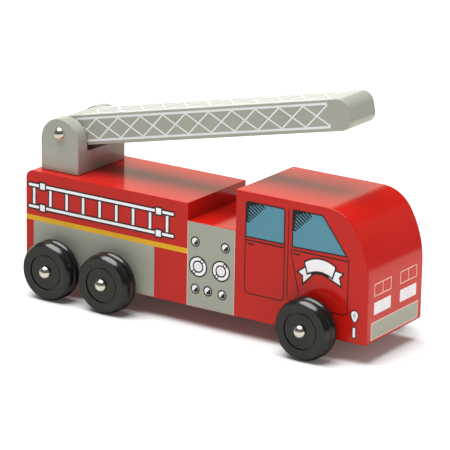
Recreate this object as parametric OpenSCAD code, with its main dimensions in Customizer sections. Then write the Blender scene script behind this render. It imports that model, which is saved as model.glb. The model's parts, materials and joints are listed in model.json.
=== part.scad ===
// Wooden toy fire engine with a tilting and swivelling ladder, in millimetres.
// The front points along +X and the right side along -Y. Z is up from the floor under the wheels.

/* [Body] */
// Width of the three body blocks
body_w = 75; // [66:1:90]
// Length of the rear body
rear_len = 146; // [130:1:170]
// Length of the low pump section
pump_len = 41; // [34:1:60]
// Length of the cab
cab_len = 111; // [95:1:140]
// Height of the rear body, underside to deck
rear_h = 77; // [70:0.5:82]
// Height of the pump section
pump_h = 64; // [50:0.5:74]
// Height of the cab, underside to roof
cab_h = 94.5; // [88:0.5:105]
// Radius of the rounded rear edge of the deck
rear_round_r = 6; // [2:0.5:8]

/* [Cab front] */
// Radius of the curve from the roof into the windscreen
roof_r = 28; // [20:1:36]
// Radius of the long curve from the windscreen into the front
brow_r = 72; // [66:1:90]
// Height of the flat front above the underside
front_flat_h = 43; // [32:1:50]
// Radius of the front's lower edge
front_low_r = 2.5; // [1:0.5:5]

/* [Body joints] */
// Diameter of the dowels between the blocks
dowel_d = 8; // [6:0.5:12]
// Length of a dowel, half of it in each block
dowel_len = 30; // [16:1:32]
// Distance between the two dowels of a joint
dowel_spread = 40; // [24:1:50]
// Height of the dowels above the underside
dowel_up = 34; // [20:1:42]

/* [Wheels] */
// Diameter of a wheel
wheel_d = 45; // [38:1:52]
// Width of a wheel
wheel_w = 15; // [12:0.5:20]
// Height of the axles above the underside
axle_up = 7.5; // [5:0.5:10]
// Diameter of the axles and of the pivot pin
axle_d = 4; // [3:0.25:5]
// Distance from the front of the body to the front axle
front_axle_in = 43.4; // [30:0.2:70]
// Distance from the rear of the body to the rear axle
rear_axle_in = 32; // [20:1:50]
// Gap between the treads of the two rear wheels
tandem_gap = 6; // [2:0.1:12]
// Radius of the tread's shoulder beside the face
shoulder_r = 7; // [5:0.1:9]
// How far the shoulder falls from the tread to the face
shoulder_drop = 2.5; // [1:0.1:3]
// Width of the inner rib of the tread
inner_rib_w = 7.5; // [5:0.1:9]
// Width of the groove between the two ribs
groove_w = 2; // [0.8:0.1:2.4]
// Depth of that groove
groove_d = 2.6; // [2.5:0.1:4]
// Diameter of the sunk disc on the wheel face
disc_d = 27.2; // [20:0.2:34]
// Depth of the sunk disc
disc_sink = 0.6; // [0.3:0.1:2]
// Diameter of the boss on the inner face
boss_d = 15; // [9:0.5:22]
// Height of the boss on the inner face
boss_h = 3.7; // [0.5:0.1:5]

/* [Caps] */
// Diameter of a domed push cap
cap_d = 9.2; // [7:0.2:12]
// Height of the cap's straight skirt
cap_skirt_h = 1.4; // [0.8:0.1:3]
// Height of the cap's dome
cap_dome_h = 2.9; // [2:0.1:3.4]
// How far the rod goes into the dome, past the skirt
cap_grip = 1; // [0.4:0.1:1.2]

/* [Ladder] */
// Width of the ladder
ladder_w = 34; // [26:0.5:36]
// Height of the ladder above the pivot line
ladder_over = 10.6; // [8:0.1:14]
// Depth of the ladder below the pivot line
ladder_under = 12; // [8:0.1:14]
// Length from the pivot to the tip
ladder_len = 246; // [180:1:260]
// Radius of the tip's upper corner
tip_over_r = 8.5; // [2:0.5:12]
// Radius of the tip's lower corner
tip_under_r = 7.5; // [2:0.5:10]
// Upward angle of the ladder as it stands
ladder_pitch = 12; // [0:0.5:60]
// Clearance over the cab roof when the ladder lies level
roof_gap = 0.3; // [0.2:0.1:4]

/* [Ladder base] */
// Length of the base along the body
base_len = 34; // [26:0.5:40]
// Thickness of each ear
ear_t = 11.6; // [8:0.1:13]
// Height of the ear's crown above the pivot line
ear_over = 10.9; // [8:0.1:15]
// Distance from the rear of the body to the swivel axis
base_in = 25; // [23:0.5:50]
// Clearance between the ladder and the floor of the slot
slot_floor_gap = 1.1; // [0.6:0.1:3]
// Outer diameter of the friction washers beside the ladder
pivot_washer_d = 18; // [10:0.5:20]
// Thickness of those washers
pivot_washer_t = 0.6; // [0.4:0.1:1.5]

/* [Swivel] */
// Outer diameter of the washer under the base
swivel_washer_d = 26; // [16:0.5:30]
// Thickness of that washer
swivel_washer_t = 1.5; // [0.5:0.1:2.5]
// Diameter of the swivel screw
screw_d = 5; // [4:0.25:6]
// Length of the screw inside the rear body
screw_grip = 35; // [20:1:45]
// Diameter of the screw's head
screw_head_d = 10; // [8:0.25:12]
// Height of the screw's head
screw_head_h = 3; // [2:0.1:3.5]
// Width of the driver slot in that head
screw_slot_w = 1.2; // [0.8:0.1:2]
// Depth of the driver slot
screw_slot_d = 1.2; // [0.5:0.1:1.8]
// How far the washer under the head reaches past it
screw_washer_rim = 1.5; // [0.5:0.1:3]
// Thickness of the washer under the head
screw_washer_t = 1; // [0.5:0.1:1.5]
// How far the head lies below the floor of the slot
screw_sunk = 1; // [0.5:0.1:2]

/* [Clearances] */
// Radial clearance of a turning fit
run_clear = 0.05; // [0.02:0.01:0.1]
// Gap between flat faces that turn on each other
face_gap = 0.2; // [0.1:0.05:0.5]
// Side play of a wheel on its axle, at each end
wheel_play = 0.3; // [0.2:0.05:0.8]
// Room around the screw's washer in its recess
recess_room = 0.5; // [0.3:0.1:2]

/* [Hidden] */
$fn = 72;
// How far a cut runs past the face that it opens
over = 1;
red = "#c0302a";
grey = "#a3a598";
black = "#2c2d2d";
bright = "#d9d9d4";
steel = "#8f9296";
bare_wood = "#d8b98a";

// Heights
axle_z = wheel_d / 2;
underside = axle_z - axle_up;
deck = underside + rear_h;
roof = underside + cab_h;
pivot_z = roof + roof_gap + ladder_under;
slot_floor = pivot_z - ladder_under - slot_floor_gap;
base_bottom = deck + face_gap;

// Places along the body
body_len = rear_len + pump_len + cab_len;
rear_x = -body_len / 2;
pump_x = rear_x + rear_len;
cab_x = pump_x + pump_len;
front_x = cab_x + cab_len;
rear_axle_x = rear_x + rear_axle_in;
axle_xs = [front_x - front_axle_in, rear_axle_x + wheel_d + tandem_gap, rear_axle_x];
base_x = rear_x + base_in;

// Places across the body, from the middle outwards
wheel_in = body_w / 2 + wheel_play + boss_h;
axle_cap_y = wheel_in + wheel_w - disc_sink + wheel_play;
slot_w = ladder_w + 2 * (pivot_washer_t + face_gap);
base_w = slot_w + 2 * ear_t;

// Cab front: the roof arc lies inside the brow arc and touches it
brow_x = front_x - brow_r;
brow_z = underside + front_flat_h;
roof_arc_z = roof - roof_r;
roof_arc_x = brow_x + sqrt(pow(brow_r - roof_r, 2) - pow(roof_arc_z - brow_z, 2));

// Screw recess in the ladder base, from the slot's floor down
screw_head_z = slot_floor - screw_sunk - screw_head_h;
screw_washer_z = screw_head_z - screw_washer_t;
screw_washer_d = screw_head_d + 2 * screw_washer_rim;

AXLES = ["front", "middle", "rear"];
SIDES = ["right", "left"];
NODES = concat(
    ["rear_body", "pump_section", "cab", "pump_dowels", "cab_dowels"],
    [for (axle = AXLES) str(axle, "_axle")],
    [for (axle = AXLES) for (side = SIDES) str("wheel_", axle, "_", side)],
    [for (axle = AXLES) for (side = SIDES) str("axle_cap_", axle, "_", side)],
    ["swivel_washer", "swivel_screw", "screw_washer", "ladder_base", "pivot_pin"],
    [for (side = SIDES) str("pivot_cap_", side)],
    [for (side = SIDES) str("pivot_washer_", side)],
    ["ladder"]
);
node = "all";

function drawn(name) = node == "all" || node == name;

// A block of the body, from x, of the full width and standing on the underside
module block(x, length, height) {
    translate([x, -body_w / 2, underside])
        cube([length, body_w, height]);
}

// A round bar across the body, between two places in y
module cross_bar(r, y_from, y_to) {
    translate([0, y_to, 0])
        rotate([90, 0, 0])
            cylinder(r = r, h = y_to - y_from);
}

// What a round of radius r takes off a square edge at the origin, below and in front of it
module edge_waste(r, width) {
    difference() {
        translate([-over, -width / 2 - over, -r])
            cube([r + over, width + 2 * over, r + over]);
        translate([r, 0, -r])
            cross_bar(r, -width / 2 - 2 * over, width / 2 + 2 * over);
    }
}

// A ring that lies flat, from z = 0 up
module washer(outer_d, inner_d, thickness) {
    difference() {
        cylinder(d = outer_d, h = thickness);
        translate([0, 0, -over])
            cylinder(d = inner_d, h = thickness + 2 * over);
    }
}

// Puts a shape made for the left side on the left or the right
module on_side(side) {
    if (side == "left") children();
    else mirror([0, 1, 0]) children();
}

module dowels_at(x) {
    for (y = [-dowel_spread / 2, dowel_spread / 2])
        translate([x - dowel_len / 2, y, underside + dowel_up])
            rotate([0, 90, 0])
                cylinder(d = dowel_d, h = dowel_len);
}

// The screw's shank, from the head down to its point in the rear body
module screw_shank() {
    translate([base_x, 0, deck - screw_grip]) {
        cylinder(d1 = 0, d2 = screw_d, h = screw_d);
        translate([0, 0, screw_d])
            cylinder(d = screw_d, h = screw_head_z - deck + screw_grip - screw_d);
    }
}

module axle_bores() {
    for (x = axle_xs)
        translate([x, 0, axle_z])
            cross_bar(axle_d / 2, -body_w / 2 - over, body_w / 2 + over);
}

module rear_body() {
    color(red)
        difference() {
            block(rear_x, rear_len, rear_h);
            translate([rear_x, 0, deck])
                edge_waste(rear_round_r, body_w);
            axle_bores();
            dowels_at(pump_x);
            screw_shank();
        }
}

module pump_section() {
    color(red)
        difference() {
            block(pump_x, pump_len, pump_h);
            dowels_at(pump_x);
            dowels_at(cab_x);
        }
}

// The part of the brow arc between the flat front and the roof arc
module brow_sector() {
    reach = 2 * brow_r;
    touch = atan2(roof_arc_z - brow_z, roof_arc_x - brow_x);
    intersection() {
        translate([brow_x, 0, brow_z])
            cross_bar(brow_r, -body_w / 2, body_w / 2);
        translate([brow_x, body_w / 2 + over, brow_z])
            rotate([90, 0, 0])
                linear_extrude(body_w + 2 * over)
                    polygon([[0, 0], [reach, 0], [reach * cos(touch), reach * sin(touch)]]);
    }
}

module cab() {
    color(red)
        difference() {
            union() {
                block(cab_x, roof_arc_x - cab_x, cab_h);
                block(cab_x, cab_len, front_flat_h);
                translate([roof_arc_x, 0, roof_arc_z])
                    cross_bar(roof_r, -body_w / 2, body_w / 2);
                brow_sector();
            }
            translate([front_x, 0, underside])
                rotate([0, 180, 0])
                    edge_waste(front_low_r, body_w);
            axle_bores();
            dowels_at(cab_x);
        }
}

module pump_dowels() {
    color(bare_wood) dowels_at(pump_x);
}

module cab_dowels() {
    color(bare_wood) dowels_at(cab_x);
}

module axle(x) {
    reach = axle_cap_y + cap_skirt_h + cap_grip;
    color(steel)
        translate([x, 0, axle_z])
            cross_bar(axle_d / 2, -reach, reach);
}

// The tread's inner rib, which is half round
module inner_rib() {
    rib_r = inner_rib_w / 2;
    square([wheel_d / 2 - rib_r, inner_rib_w]);
    translate([wheel_d / 2 - rib_r, rib_r])
        circle(r = rib_r);
}

// The tread's outer rib, which falls to the face in a long shoulder
module outer_rib() {
    rib_y = inner_rib_w + groove_w;
    shoulder_w = sqrt(pow(shoulder_r, 2) - pow(shoulder_r - shoulder_drop, 2));
    intersection() {
        translate([0, rib_y])
            square([wheel_d / 2, wheel_w - rib_y]);
        translate([wheel_d / 2 - shoulder_r, wheel_w - shoulder_w])
            circle(r = shoulder_r);
    }
}

// Half section of a wheel, its axis along the section's y and its inner face at y = 0
module wheel_section() {
    core_r = wheel_d / 2 - max(groove_d, shoulder_drop);
    bore_r = axle_d / 2 + run_clear;
    difference() {
        union() {
            square([core_r, wheel_w]);
            inner_rib();
            outer_rib();
            translate([0, -boss_h])
                square([boss_d / 2, boss_h + over]);
        }
        translate([0, wheel_w - disc_sink])
            square([disc_d / 2, disc_sink + over]);
        translate([0, -boss_h - over])
            square([bore_r, wheel_w + boss_h + 2 * over]);
    }
}

module wheel(x, side) {
    color(black)
        on_side(side)
            translate([x, wheel_in, axle_z])
                rotate([-90, 0, 0])
                    rotate_extrude()
                        wheel_section();
}

// A domed push cap with its seat at y, on a rod through the origin
module push_cap(y) {
    dome_r = (pow(cap_d / 2, 2) + pow(cap_dome_h, 2)) / (2 * cap_dome_h);
    color(bright)
        translate([0, y, 0])
            rotate([-90, 0, 0])
                difference() {
                    union() {
                        cylinder(d = cap_d, h = cap_skirt_h);
                        intersection() {
                            translate([0, 0, cap_skirt_h + cap_dome_h - dome_r])
                                sphere(r = dome_r);
                            translate([0, 0, cap_skirt_h])
                                cylinder(d = cap_d, h = cap_dome_h);
                        }
                    }
                    translate([0, 0, -over])
                        cylinder(d = axle_d, h = over + cap_skirt_h + cap_grip);
                }
}

module axle_cap(x, side) {
    on_side(side)
        translate([x, 0, axle_z])
            push_cap(axle_cap_y);
}

module swivel_washer() {
    color(bare_wood)
        translate([base_x, 0, deck])
            washer(swivel_washer_d, screw_d, swivel_washer_t);
}

module swivel_screw() {
    slot_len = screw_head_d + 2 * over;
    slot_z = screw_head_z + screw_head_h - screw_slot_d;
    color(steel)
        difference() {
            union() {
                screw_shank();
                translate([base_x, 0, screw_head_z])
                    cylinder(d = screw_head_d, h = screw_head_h);
            }
            translate([base_x - slot_len / 2, -screw_slot_w / 2, slot_z])
                cube([slot_len, screw_slot_w, screw_slot_d + over]);
        }
}

module screw_washer() {
    color(steel)
        translate([base_x, 0, screw_washer_z])
            washer(screw_washer_d, screw_d, screw_washer_t);
}

module ladder_base() {
    arch_r = base_len / 2;
    arch_z = pivot_z + ear_over - arch_r;
    recess_floor = screw_washer_z - face_gap;
    color(grey)
        difference() {
            union() {
                translate([base_x - arch_r, -base_w / 2, base_bottom])
                    cube([base_len, base_w, arch_z - base_bottom]);
                translate([base_x, 0, arch_z])
                    cross_bar(arch_r, -base_w / 2, base_w / 2);
            }
            translate([base_x - arch_r - over, -slot_w / 2, slot_floor])
                cube([base_len + 2 * over, slot_w, arch_z + arch_r - slot_floor + over]);
            translate([base_x, 0, pivot_z])
                cross_bar(axle_d / 2, -base_w / 2 - over, base_w / 2 + over);
            translate([base_x, 0, base_bottom - over])
                cylinder(r = screw_d / 2 + run_clear, h = slot_floor - base_bottom + 2 * over);
            translate([base_x, 0, base_bottom - over])
                cylinder(r = swivel_washer_d / 2 + recess_room, h = swivel_washer_t + over);
            translate([base_x, 0, recess_floor])
                cylinder(r = screw_washer_d / 2 + recess_room, h = slot_floor - recess_floor + over);
        }
}

module pivot_pin() {
    reach = base_w / 2 + cap_skirt_h + cap_grip;
    color(steel)
        translate([base_x, 0, pivot_z])
            cross_bar(axle_d / 2, -reach, reach);
}

module pivot_cap(side) {
    on_side(side)
        translate([base_x, 0, pivot_z])
            push_cap(base_w / 2);
}

module pivot_washer(side) {
    color(bare_wood)
        on_side(side)
            translate([base_x, slot_w / 2, pivot_z])
                rotate([90, 0, 0])
                    washer(pivot_washer_d, axle_d, pivot_washer_t);
}

module ladder() {
    thickness = ladder_over + ladder_under;
    heel_z = (ladder_over - ladder_under) / 2;
    color(grey)
        translate([base_x, 0, pivot_z])
            rotate([0, -ladder_pitch, 0])
                difference() {
                    union() {
                        translate([0, -ladder_w / 2, -ladder_under])
                            cube([ladder_len, ladder_w, thickness]);
                        translate([0, 0, heel_z])
                            cross_bar(thickness / 2, -ladder_w / 2, ladder_w / 2);
                    }
                    translate([ladder_len, 0, ladder_over])
                        mirror([1, 0, 0])
                            edge_waste(tip_over_r, ladder_w);
                    translate([ladder_len, 0, -ladder_under])
                        rotate([0, 180, 0])
                            edge_waste(tip_under_r, ladder_w);
                    cross_bar(axle_d / 2 + run_clear, -ladder_w / 2 - over, ladder_w / 2 + over);
                }
}

if (drawn("rear_body")) rear_body();
if (drawn("pump_section")) pump_section();
if (drawn("cab")) cab();
if (drawn("pump_dowels")) pump_dowels();
if (drawn("cab_dowels")) cab_dowels();
for (i = [0 : 2]) {
    if (drawn(str(AXLES[i], "_axle"))) axle(axle_xs[i]);
    for (side = SIDES) {
        if (drawn(str("wheel_", AXLES[i], "_", side))) wheel(axle_xs[i], side);
        if (drawn(str("axle_cap_", AXLES[i], "_", side))) axle_cap(axle_xs[i], side);
    }
}
if (drawn("swivel_washer")) swivel_washer();
if (drawn("swivel_screw")) swivel_screw();
if (drawn("screw_washer")) screw_washer();
if (drawn("ladder_base")) ladder_base();
if (drawn("pivot_pin")) pivot_pin();
for (side = SIDES) {
    if (drawn(str("pivot_cap_", side))) pivot_cap(side);
    if (drawn(str("pivot_washer_", side))) pivot_washer(side);
}
if (drawn("ladder")) ladder();
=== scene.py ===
# The looks of a wooden toy fire engine with a tilting, swivelling ladder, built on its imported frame.
import json
import math

import bmesh
import bpy
from mathutils import Matrix, Vector


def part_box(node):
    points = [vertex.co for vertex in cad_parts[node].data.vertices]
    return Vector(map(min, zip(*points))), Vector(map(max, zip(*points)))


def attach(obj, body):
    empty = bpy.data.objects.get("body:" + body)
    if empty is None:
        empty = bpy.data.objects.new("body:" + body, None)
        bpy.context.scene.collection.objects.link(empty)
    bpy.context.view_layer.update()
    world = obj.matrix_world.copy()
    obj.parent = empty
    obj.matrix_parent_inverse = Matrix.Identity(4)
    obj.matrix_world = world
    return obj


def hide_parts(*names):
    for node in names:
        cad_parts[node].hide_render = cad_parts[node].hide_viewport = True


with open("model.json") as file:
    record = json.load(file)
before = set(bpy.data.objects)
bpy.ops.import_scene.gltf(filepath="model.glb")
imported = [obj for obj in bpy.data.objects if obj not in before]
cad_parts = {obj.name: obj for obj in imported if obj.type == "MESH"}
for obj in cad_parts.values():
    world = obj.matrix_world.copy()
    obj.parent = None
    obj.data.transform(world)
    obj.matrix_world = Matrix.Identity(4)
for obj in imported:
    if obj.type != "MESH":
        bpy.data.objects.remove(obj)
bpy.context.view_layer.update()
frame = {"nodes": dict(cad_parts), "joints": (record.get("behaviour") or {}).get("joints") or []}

# Everything below is drawn in millimetres, and scaled to metres as each piece is finished.
MM = 0.001
X, Y, Z = Vector((1, 0, 0)), Vector((0, 1, 0)), Vector((0, 0, 1))
SIDES = {"right": -1, "left": 1}
AXLES = ("front", "middle", "rear")
# Points nearer than this are one point, and places nearer than this are one place
MERGE = 0.0005
SAME = 0.01
# An edge longer than this runs along a block, and is no part of a rounding
SHORT = 1


def box_mm(node):
    """Lowest and highest corner of a node of the frame, in millimetres."""
    low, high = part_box(node)
    return low / MM, high / MM


# Places and sizes that the frame gives
rear_low, rear_high = box_mm("rear_body")
pump_low, pump_high = box_mm("pump_section")
cab_low, cab_high = box_mm("cab")
base_low, base_high = box_mm("ladder_base")
ladder_low, ladder_high = box_mm("ladder")
screw_washer_low, screw_washer_high = box_mm("screw_washer")
swivel_washer_low, swivel_washer_high = box_mm("swivel_washer")
slot_half = box_mm("pivot_washer_left")[1].y
half_w = rear_high.y
underside = rear_low.z
joints = {joint["name"]: joint for joint in frame["joints"]}
pivot = Vector(joints["ladder_tilt"]["pos_m"]) / MM
swivel = Vector(joints["ladder_swivel"]["pos_m"]) / MM
# The ladder lies level at its lower limit, so that limit is also its pitch as it stands
pitch = math.radians(-joints["ladder_tilt"]["range_deg"][0])

# Wooden blocks
EASE = 0.45
CAB_EASE = 0.65
SEAM_EASE = 0.25
EASE_STEPS = 4
SHARP = math.radians(25)
FLAT = math.radians(0.5)
# A face whose normal has this much of an axis faces that way
SQUARE = 0.99
REAR_ROUND_R = 6
ROOF_R = 28
BROW_R = 72
FRONT_FLAT_H = 43
FRONT_LOW_R = 2.5
# Ladder and its base, seen from the pivot
LADDER_OVER = 10.58
LADDER_UNDER = 12
LADDER_LEN = 246
TIP_OVER_R = 8.5
TIP_UNDER_R = 7.5
SLOT_FLOOR_GAP = 1.1
# Room beside the washers in their recesses, and past them
RECESS_ROOM = 0.5
UNDER_WASHER = 0.2
SCREW_HOLE_R = 2.55
# The screw's hole ends this far over the recess under the base
SCREW_HOLE_STOP = 1
RECESS_STEPS = 48
# Wheels and caps
WHEEL_W = 15
BOSS_R = 7.5
INNER_RIB_W = 7.5
GROOVE_W = 2
GROOVE_D = 2.6
SHOULDER_R = 7
SHOULDER_DROP = 2.5
DISC_R = 13.6
DISC_SINK = 0.6
RING_W = 0.9
RING_D = 1.3
WHEEL_BORE_R = 2.05
WHEEL_EASE = 0.2
WHEEL_STEPS = 96
CAP_R = 4.6
CAP_SKIRT_H = 1.4
CAP_DOME_H = 2.9
CAP_BORE_R = 2
CAP_BORE_H = 2.4
CAP_STEPS = 48
# Ink: one level of print stands this far proud, and its foot is sunk into the wood
INK = 0.05
SINK = 0.05
INK_LEVELS = 4
INK_CORNER_STEPS = 5
# The cab's front stands back by the thickest print, so that the print stays inside the CAD box
front_x = cab_high.x - INK_LEVELS * INK


# Colour, nodes and materials

def srgb(code):
    """Linear colour with alpha from an sRGB hex value."""
    parts = [int(code[i:i + 2], 16) / 255 for i in (1, 3, 5)]
    return [c / 12.92 if c <= 0.04045 else ((c + 0.055) / 1.055) ** 2.4 for c in parts] + [1]


def put(tree, kind, values=None, links=None, **settings):
    """Adds a node of that kind with its settings, socket values and incoming links."""
    node = tree.nodes.new("ShaderNode" + kind)
    for name, value in settings.items():
        setattr(node, name, value)
    for socket, value in (values or {}).items():
        node.inputs[socket].default_value = value
    for socket, source in (links or {}).items():
        tree.links.new(source, node.inputs[socket])
    return node


def blank_material(name):
    """A material with an empty node tree."""
    material = bpy.data.materials.new(name)
    material.use_nodes = True
    material.node_tree.nodes.clear()
    return material, material.node_tree


# Sockets of a Mix node: its two numbers, its two colours and the colour that comes out
NUMBER_A, NUMBER_B = 2, 3
MIX_A, MIX_B, MIX_RESULT = 6, 7, 2


def painted_wood(name, colour, shade, roughness, ior, grain_depth, grain_turn=0.0):
    """Lacquer sprayed over sanded hardwood: an even colour, a gloss film with slight orange peel, and
    the grain just showing through as long shallow ridges."""
    grain_len, grain_w, peel_w, tone_w = 45 * MM, 1.1 * MM, 2.2 * MM, 30 * MM
    grain_share, shade_at, colour_at = 0.6, 0.5, 1.1
    dull, clear = 1.15 * roughness, 0.85 * roughness
    material, tree = blank_material(name)
    place = put(tree, "TexCoord").outputs["Object"]
    along = put(tree, "Mapping",
                {"Scale": (grain_len, grain_w, grain_w), "Rotation": (0, -grain_turn, 0)},
                {"Vector": place}, vector_type="TEXTURE")
    grain = put(tree, "TexNoise", {"Scale": 1, "Detail": 3}, {"Vector": along.outputs[0]})
    peel = put(tree, "TexNoise", {"Scale": 1 / peel_w, "Detail": 1}, {"Vector": place})
    tone = put(tree, "TexNoise", {"Scale": 1 / tone_w, "Detail": 2}, {"Vector": place})
    mixed = put(tree, "Math", {1: grain_share}, {0: grain.outputs[0], 2: tone.outputs[0]},
                operation="MULTIPLY_ADD")
    spread = put(tree, "MapRange", {"From Min": shade_at, "From Max": colour_at},
                 {"Value": mixed.outputs[0]})
    paint = put(tree, "Mix", {MIX_A: srgb(shade), MIX_B: srgb(colour)}, {0: spread.outputs[0]},
                data_type="RGBA")
    gloss = put(tree, "MapRange", {"To Min": clear, "To Max": dull}, {"Value": tone.outputs[0]})
    ridges = put(tree, "Bump", {"Strength": 0.3, "Distance": grain_depth * MM},
                 {"Height": grain.outputs[0]})
    film = put(tree, "Bump", {"Strength": 0.2, "Distance": 0.02 * MM},
               {"Height": peel.outputs[0], "Normal": ridges.outputs[0]})
    shader = put(tree, "BsdfPrincipled", {"IOR": ior},
                 {"Base Color": paint.outputs[MIX_RESULT], "Roughness": gloss.outputs[0],
                  "Normal": film.outputs[0]})
    put(tree, "OutputMaterial", links={"Surface": shader.outputs[0]})
    return material


def screen_ink(name, colour, shade):
    """Screen-printed enamel ink: a flat satin film with a faint mesh unevenness in its tone."""
    mesh_w, tone_w = 0.8 * MM, 12 * MM
    material, tree = blank_material(name)
    place = put(tree, "TexCoord").outputs["Object"]
    tone = put(tree, "TexNoise", {"Scale": 1 / tone_w, "Detail": 3}, {"Vector": place})
    mesh = put(tree, "TexNoise", {"Scale": 1 / mesh_w, "Detail": 1}, {"Vector": place})
    ink = put(tree, "Mix", {MIX_A: srgb(shade), MIX_B: srgb(colour)}, {0: tone.outputs[0]},
              data_type="RGBA")
    film = put(tree, "Bump", {"Strength": 0.15, "Distance": 0.02 * MM}, {"Height": mesh.outputs[0]})
    shader = put(tree, "BsdfPrincipled", {"IOR": 1.4, "Roughness": 0.32},
                 {"Base Color": ink.outputs[MIX_RESULT], "Normal": film.outputs[0]})
    put(tree, "OutputMaterial", links={"Surface": shader.outputs[0]})
    return material


def moulded_plastic(name):
    """Black polystyrene, moulded: near black, with a semi-gloss skin that is uneven in patches."""
    patch_w, skin_w = 6 * MM, 0.7 * MM
    material, tree = blank_material(name)
    place = put(tree, "TexCoord").outputs["Object"]
    patches = put(tree, "TexNoise", {"Scale": 1 / patch_w, "Detail": 3}, {"Vector": place})
    skin = put(tree, "TexNoise", {"Scale": 1 / skin_w, "Detail": 2}, {"Vector": place})
    gloss = put(tree, "MapRange", {"To Min": 0.15, "To Max": 0.25}, {"Value": patches.outputs[0]})
    dark = put(tree, "Mix", {MIX_A: srgb("#0F1213"), MIX_B: srgb("#1A1E1F")}, {0: patches.outputs[0]},
               data_type="RGBA")
    bump = put(tree, "Bump", {"Strength": 0.12, "Distance": 0.03 * MM}, {"Height": skin.outputs[0]})
    shader = put(tree, "BsdfPrincipled", {"IOR": 1.55},
                 {"Base Color": dark.outputs[MIX_RESULT], "Roughness": gloss.outputs[0],
                  "Normal": bump.outputs[0]})
    put(tree, "OutputMaterial", links={"Surface": shader.outputs[0]})
    return material


def bright_metal(name, colour, roughness, scratch_len, scratch_w):
    """Plated or drawn metal: a clear reflection, drawn out a little by fine lines in the surface."""
    dull, clear = 1.4 * roughness, 0.7 * roughness
    material, tree = blank_material(name)
    place = put(tree, "TexCoord").outputs["Object"]
    along = put(tree, "Mapping", {"Scale": (scratch_w * MM, scratch_len * MM, scratch_w * MM)},
                {"Vector": place}, vector_type="TEXTURE")
    lines = put(tree, "TexNoise", {"Scale": 1, "Detail": 2}, {"Vector": along.outputs[0]})
    gloss = put(tree, "MapRange", {"To Min": clear, "To Max": dull}, {"Value": lines.outputs[0]})
    bump = put(tree, "Bump", {"Strength": 0.08, "Distance": 0.02 * MM}, {"Height": lines.outputs[0]})
    shader = put(tree, "BsdfPrincipled", {"Base Color": srgb(colour), "Metallic": 1},
                 {"Roughness": gloss.outputs[0], "Normal": bump.outputs[0]})
    put(tree, "OutputMaterial", links={"Surface": shader.outputs[0]})
    return material


def bare_fibre(name, light, dark, fibre_len, fibre_w):
    """Unpainted beech or pressed fibre: dry and matte, streaked along its fibres."""
    material, tree = blank_material(name)
    place = put(tree, "TexCoord").outputs["Object"]
    along = put(tree, "Mapping", {"Scale": (fibre_len * MM, fibre_w * MM, fibre_w * MM)},
                {"Vector": place}, vector_type="TEXTURE")
    fibres = put(tree, "TexNoise", {"Scale": 1, "Detail": 4}, {"Vector": along.outputs[0]})
    tint = put(tree, "Mix", {MIX_A: srgb(dark), MIX_B: srgb(light)}, {0: fibres.outputs[0]},
               data_type="RGBA")
    bump = put(tree, "Bump", {"Strength": 0.3, "Distance": 0.05 * MM}, {"Height": fibres.outputs[0]})
    shader = put(tree, "BsdfPrincipled", {"Roughness": 0.7},
                 {"Base Color": tint.outputs[MIX_RESULT], "Normal": bump.outputs[0]})
    put(tree, "OutputMaterial", links={"Surface": shader.outputs[0]})
    return material


red_lacquer = painted_wood("red gloss lacquer", "#C11A13", "#BB1912",
                           roughness=0.13, ior=1.42, grain_depth=0.02)
grey_lacquer = painted_wood("grey satin lacquer", "#A8A99C", "#A0A194",
                            roughness=0.2, ior=1.7, grain_depth=0.05)
boom_lacquer = painted_wood("grey satin lacquer on the ladder", "#A8A99C", "#A0A194",
                            roughness=0.2, ior=1.7, grain_depth=0.05, grain_turn=pitch)
black_plastic = moulded_plastic("black moulded polystyrene")
nickel = bright_metal("bright nickel plate", "#F8F6F0", 0.22, scratch_len=3, scratch_w=0.5)
steel = bright_metal("drawn steel rod", "#A9ABAE", 0.28, scratch_len=12, scratch_w=0.3)
beech = bare_fibre("bare beech", "#DCBF93", "#C29E6C", fibre_len=14, fibre_w=0.6)
fibre = bare_fibre("vulcanised fibre", "#94694A", "#7D563A", fibre_len=1.2, fibre_w=0.8)
inks = {
    "black": screen_ink("black screen ink", "#231C1C", "#1A1515"),
    "white": screen_ink("white screen ink", "#F8F6F8", "#F1EFF2"),
    "yellow": screen_ink("yellow screen ink", "#E7AF0A", "#E0A808"),
    "blue": screen_ink("window blue screen ink", "#568FA2", "#508A9D"),
    "grey": screen_ink("grey screen ink", "#A5A799", "#9EA092"),
    "cream": screen_ink("cream screen ink", "#EFC9B4", "#E8BFA8"),
    "pale": screen_ink("pale grey screen ink", "#CFCED6", "#C6C5CE"),
    "milky": screen_ink("milky white screen ink", "#E8E7EB", "#E1E0E4"),
    "frost": screen_ink("frost white screen ink", "#E4EAEA", "#DDE3E3"),
}


# Drawing: outlines are lists of (x, y) points in millimetres

def arc(centre, radius, start, end, steps):
    """Points on an arc, from one angle in degrees to another."""
    turns = [math.radians(start + (end - start) * i / steps) for i in range(steps + 1)]
    return [(centre[0] + radius * math.cos(a), centre[1] + radius * math.sin(a)) for a in turns]


def bulge(start, end, rise, steps=14):
    """Points on the arc from start to end that rises by that much, to the left of the way there."""
    a, b = Vector(start), Vector(end)
    half = (b - a).length / 2
    radius = (half ** 2 + rise ** 2) / (2 * rise)
    left = Vector((a.y - b.y, b.x - a.x)).normalized()
    centre = (a + b) / 2 + left * (rise - radius)
    first = math.degrees(math.atan2(a.y - centre.y, a.x - centre.x))
    sweep = 2 * math.degrees(math.asin(half / radius))
    return arc(centre, radius, first, first - sweep, steps)


def disc(centre, diameter, steps=40):
    """Points on a full circle."""
    return arc(centre, diameter / 2, 0, 360, steps)[:-1]


def rectangle(x0, y0, x1, y1):
    """Corners of a rectangle between two opposite ones."""
    return [(x0, y0), (x1, y0), (x1, y1), (x0, y1)]


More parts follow.
